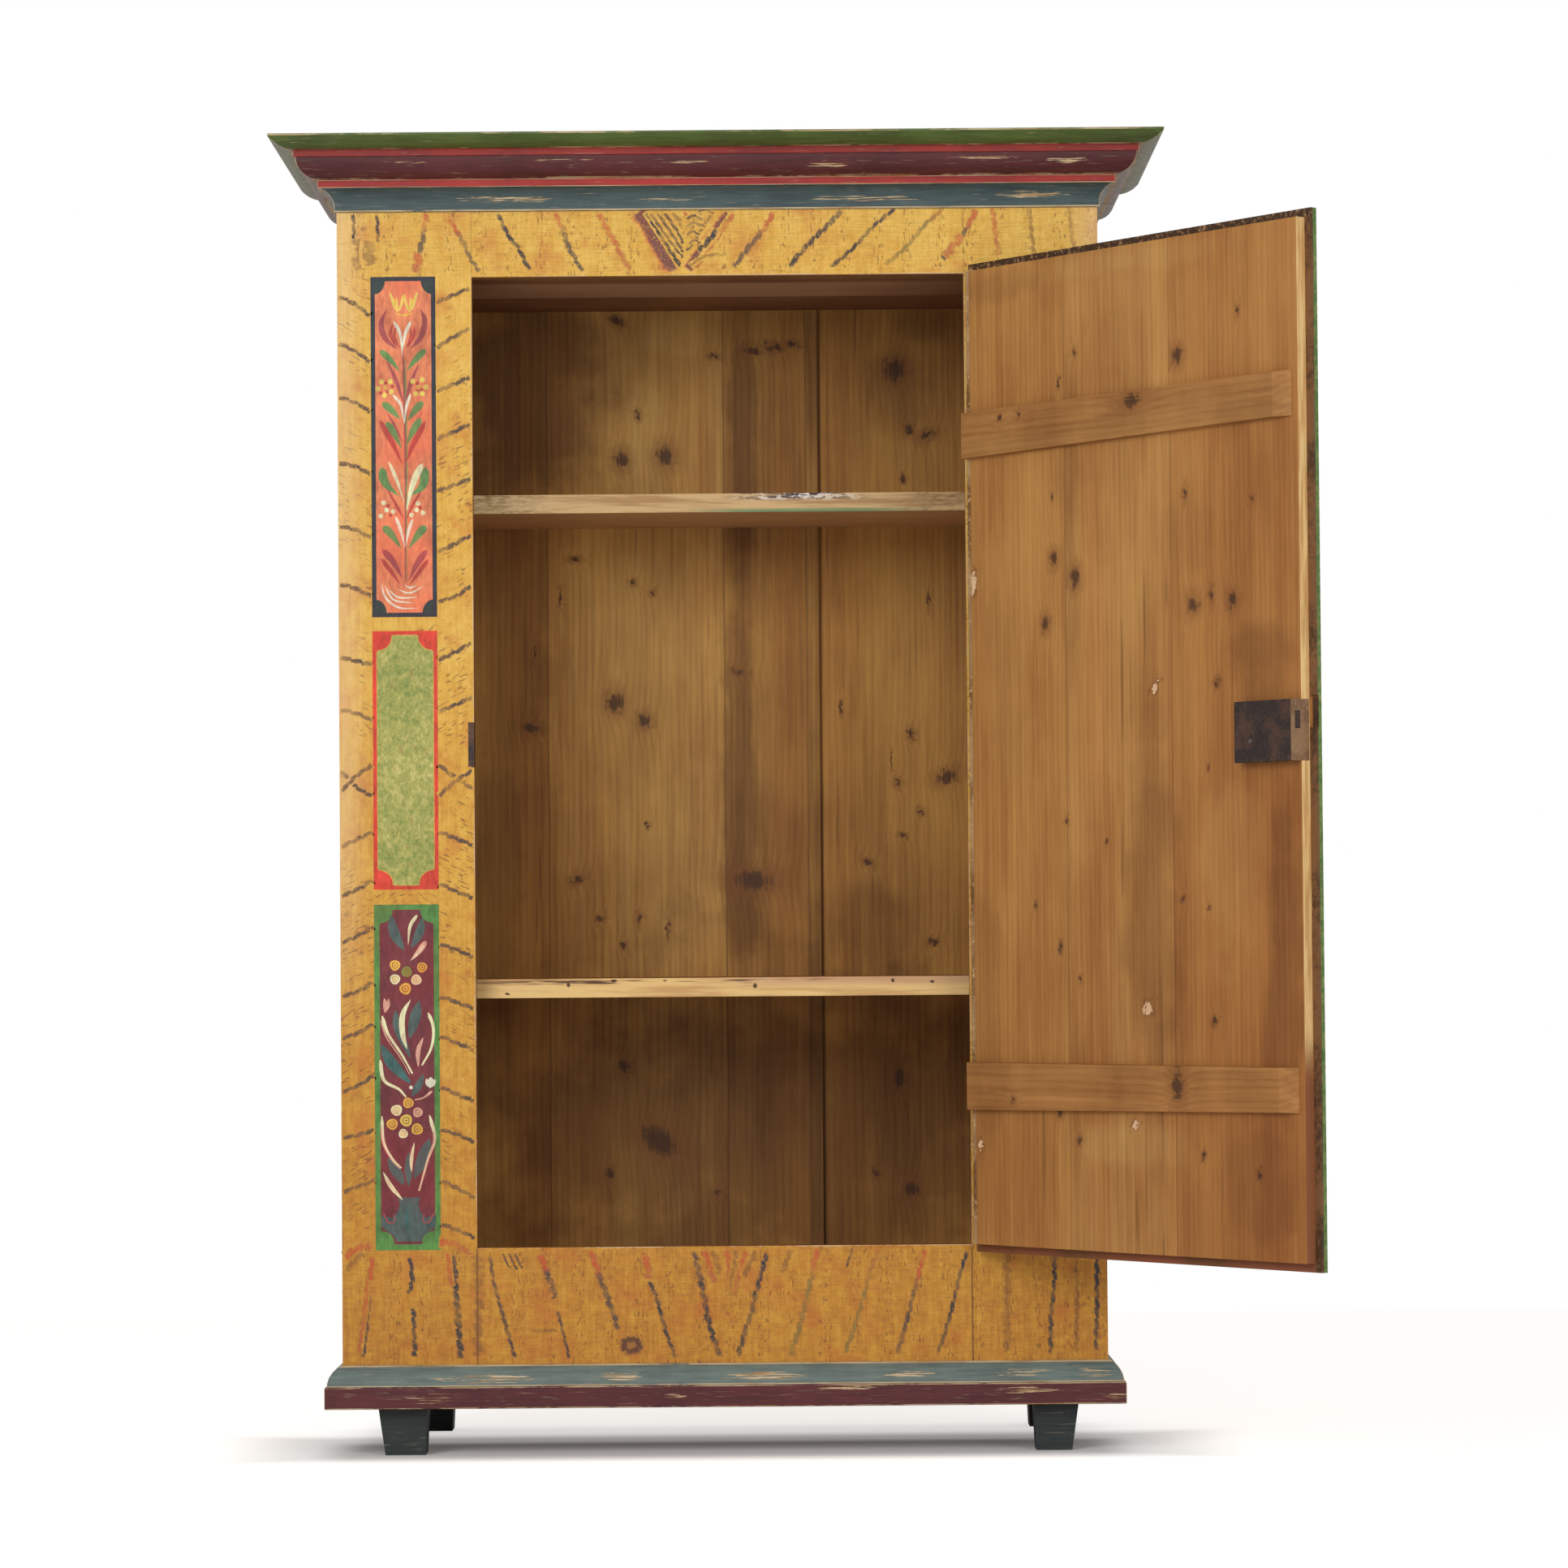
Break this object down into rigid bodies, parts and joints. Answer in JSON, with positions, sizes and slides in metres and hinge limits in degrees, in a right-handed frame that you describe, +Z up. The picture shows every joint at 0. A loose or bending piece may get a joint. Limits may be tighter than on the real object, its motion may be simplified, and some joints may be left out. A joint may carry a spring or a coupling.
{
  "type": "painted single-door cabinet",
  "caption": "Tall painted pine cabinet with moulded cornice, plinth on tapered feet, shelves, and a battened door with box lock that swings open on knuckle hinges.",
  "frame": {"origin": "floor level, under the middle of the carcass without its mouldings", "axes": "+Z up, +Y out of the back, +X to the viewer's right when the front is faced"},
  "size_m": [1.376, 1.0345, 1.8],
  "materials": {
    "ochre_paint": "worn combed ochre paint on pine",
    "raw_pine": "aged bare pine",
    "crown_paint": "green, red and burgundy paint on pine",
    "bed_paint": "blue-grey paint on pine with a red edge",
    "ovolo_paint": "blue-grey paint on pine",
    "plinth_paint": "burgundy paint on pine",
    "foot_paint": "black-green paint on pine",
    "door_pine": "aged pine, painted on its outer side",
    "batten_pine": "aged pine",
    "hinge_iron": "dark forged iron",
    "lock_iron": "dark sheet iron",
    "key_steel": "worn steel"
  },
  "bodies": {
    "carcass": {"front_left_stile": "ochre_paint", "front_right_stile": "ochre_paint", "front_top_rail": "ochre_paint", "front_bottom_rail": "ochre_paint", "frame_pegs": "ochre_paint", "left_side_front_board": "ochre_paint", "left_side_rear_board": "ochre_paint", "right_side_front_board": "ochre_paint", "right_side_rear_board": "ochre_paint", "back_board_1": "raw_pine", "back_board_2": "raw_pine", "back_board_3": "raw_pine", "back_board_4": "raw_pine", "floor_board": "raw_pine", "ceiling_board": "raw_pine", "upper_shelf": "raw_pine", "lower_shelf": "raw_pine", "upper_shelf_left_cleat": "raw_pine", "upper_shelf_right_cleat": "raw_pine", "lower_shelf_left_cleat": "raw_pine", "lower_shelf_right_cleat": "raw_pine", "crown_moulding_front": "crown_paint", "crown_moulding_left": "crown_paint", "crown_moulding_right": "crown_paint", "bed_moulding_front": "bed_paint", "bed_moulding_left": "bed_paint", "bed_moulding_right": "bed_paint", "base_ovolo_front": "ovolo_paint", "base_ovolo_left": "ovolo_paint", "base_ovolo_right": "ovolo_paint", "plinth_fillet_front": "plinth_paint", "plinth_fillet_left": "plinth_paint", "plinth_fillet_right": "plinth_paint", "foot_front_left": "foot_paint", "foot_front_right": "foot_paint", "foot_rear_left": "foot_paint", "foot_rear_right": "foot_paint", "upper_hinge_frame_leaf": "hinge_iron", "lower_hinge_frame_leaf": "hinge_iron", "upper_hinge_pin": "hinge_iron", "lower_hinge_pin": "hinge_iron", "strike_plate": "hinge_iron"},
    "door": {"door_board_left": "door_pine", "door_board_middle": "door_pine", "door_board_right": "door_pine", "door_batten_upper": "batten_pine", "door_batten_lower": "batten_pine", "upper_hinge_door_leaf": "hinge_iron", "lower_hinge_door_leaf": "hinge_iron", "lock_case": "lock_iron", "lock_forend": "lock_iron", "lock_spring": "lock_iron"},
    "bolt": {"lock_bolt": "lock_iron"},
    "key": {"key": "key_steel"}
  },
  "joints": [
    {"name": "door_hinge", "type": "hinge", "parent": "carcass", "child": "door", "pos_m": [0.35, -0.2354, 0.8925], "axis": [0, 0, 1], "range_deg": [-126.7, 50]},
    {"name": "key_turn", "type": "hinge", "parent": "door", "child": "key", "pos_m": [0.71216, -0.72128, 0.946], "axis": [0.8018, 0.5976, 0], "range_deg": [0, 360]},
    {"name": "bolt_throw", "type": "slide", "parent": "door", "child": "bolt", "axis": [0.5976, -0.8018, 0], "range_m": [0, 0.012]}
  ],
  "couplings": [
    {"joint": "bolt_throw", "follows": "key_turn", "m_per_rad": 0.0019098}
  ]
}
